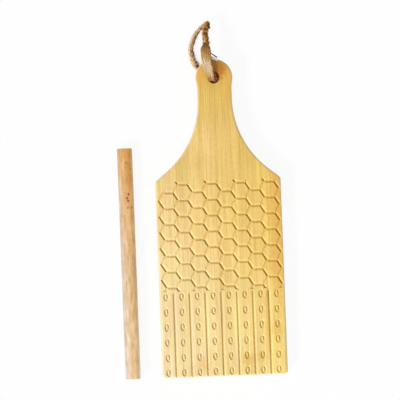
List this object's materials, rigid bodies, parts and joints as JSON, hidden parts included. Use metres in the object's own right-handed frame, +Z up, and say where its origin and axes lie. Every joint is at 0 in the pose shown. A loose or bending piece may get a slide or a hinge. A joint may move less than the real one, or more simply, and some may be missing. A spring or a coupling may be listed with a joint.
{
  "type": "gnocchi board",
  "caption": "Paddle-shaped bamboo gnocchi board with V-cut honeycomb, furrow and oval-ring ridges, a jute hanging loop through the handle and a loose wooden rolling rod.",
  "frame": {"origin": "on the table, at the centre of the rectangle that the board and the rod cover together", "axes": "+Z up from the table, +Y along the board towards its handle, +X across the board away from the rod"},
  "size_m": [0.1232, 0.2702, 0.0203],
  "materials": {
    "bamboo": "sanded edge-grain bamboo, satin",
    "beech": "sanded bare beech",
    "jute": "two-ply twisted jute, dry and hairy"
  },
  "bodies": {
    "board": {"bamboo_strip_01": "bamboo", "bamboo_strip_02": "bamboo", "bamboo_strip_03": "bamboo", "bamboo_strip_04": "bamboo", "bamboo_strip_05": "bamboo", "bamboo_strip_06": "bamboo", "bamboo_strip_07": "bamboo", "bamboo_strip_08": "bamboo", "bamboo_strip_09": "bamboo", "bamboo_strip_10": "bamboo", "bamboo_strip_11": "bamboo", "bamboo_strip_12": "bamboo", "bamboo_strip_13": "bamboo", "bamboo_strip_14": "bamboo", "bamboo_strip_15": "bamboo", "bamboo_strip_16": "bamboo", "bamboo_strip_17": "bamboo", "bamboo_strip_18": "bamboo"},
    "rod": {"rolling_rod": "beech"},
    "loop": {"hanging_cord": "jute", "cord_knot": "jute"}
  },
  "joints": [
    {"name": "rod_lift", "type": "slide", "parent": "board", "child": "rod", "axis": [0, 0, 1], "range_m": [0, 0.05]},
    {"name": "loop_swing", "type": "hinge", "parent": "board", "child": "loop", "pos_m": [0.01413, 0.10587, 0.0098], "axis": [0, -0.0168, 0.9999], "range_deg": [-60, 60]}
  ]
}
